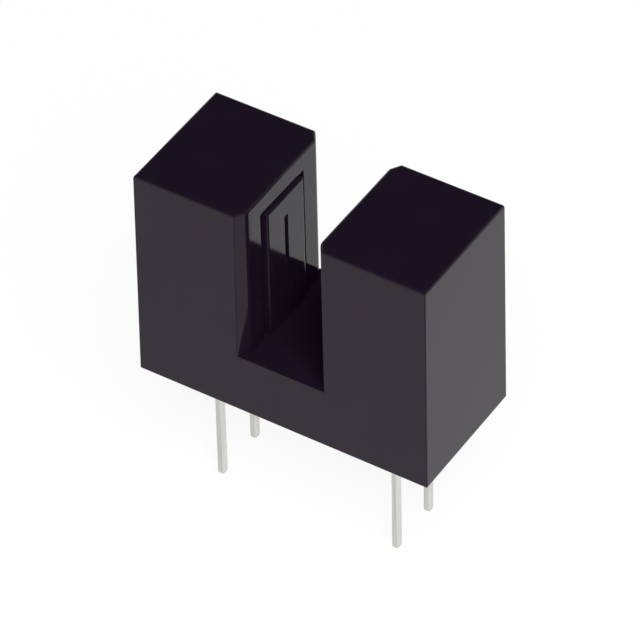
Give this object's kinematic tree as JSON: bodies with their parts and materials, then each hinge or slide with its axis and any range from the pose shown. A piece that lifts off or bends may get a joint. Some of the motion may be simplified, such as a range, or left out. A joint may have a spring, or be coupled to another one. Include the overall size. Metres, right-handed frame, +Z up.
{
  "type": "slotted optical switch",
  "caption": "Black U-shaped through-hole slotted optical switch: a flag passing through the slot breaks the beam between an emitter and a detector in the towers.",
  "frame": {"origin": "middle of the housing's underside, on the plane that rests on the circuit board", "axes": "+X along the housing from the emitter tower to the detector tower, +Y across it along the slot, +Z up out of the board"},
  "size_m": [0.0138, 0.0062, 0.0166],
  "materials": {
    "housing_plastic": "black polycarbonate with a smooth moulded satin gloss",
    "emitter_resin": "clear epoxy with a faint blue tint, cast smooth",
    "detector_resin": "near-black infrared-passing epoxy, cast smooth",
    "tinned_lead": "dull tin plate on a stamped frame",
    "emitter_semiconductor": "sawn gallium arsenide chip with a polished face",
    "detector_semiconductor": "sawn silicon chip with a polished face",
    "bond_gold": "drawn gold wire"
  },
  "bodies": {
    "root": {"housing": "housing_plastic", "emitter_body": "emitter_resin", "emitter_cathode_lead": "tinned_lead", "emitter_anode_lead": "tinned_lead", "emitter_chip": "emitter_semiconductor", "emitter_bond_wire": "bond_gold", "detector_body": "detector_resin", "detector_collector_lead": "tinned_lead", "detector_emitter_lead": "tinned_lead", "detector_chip": "detector_semiconductor", "detector_bond_wire": "bond_gold"}
  },
  "joints": []
}
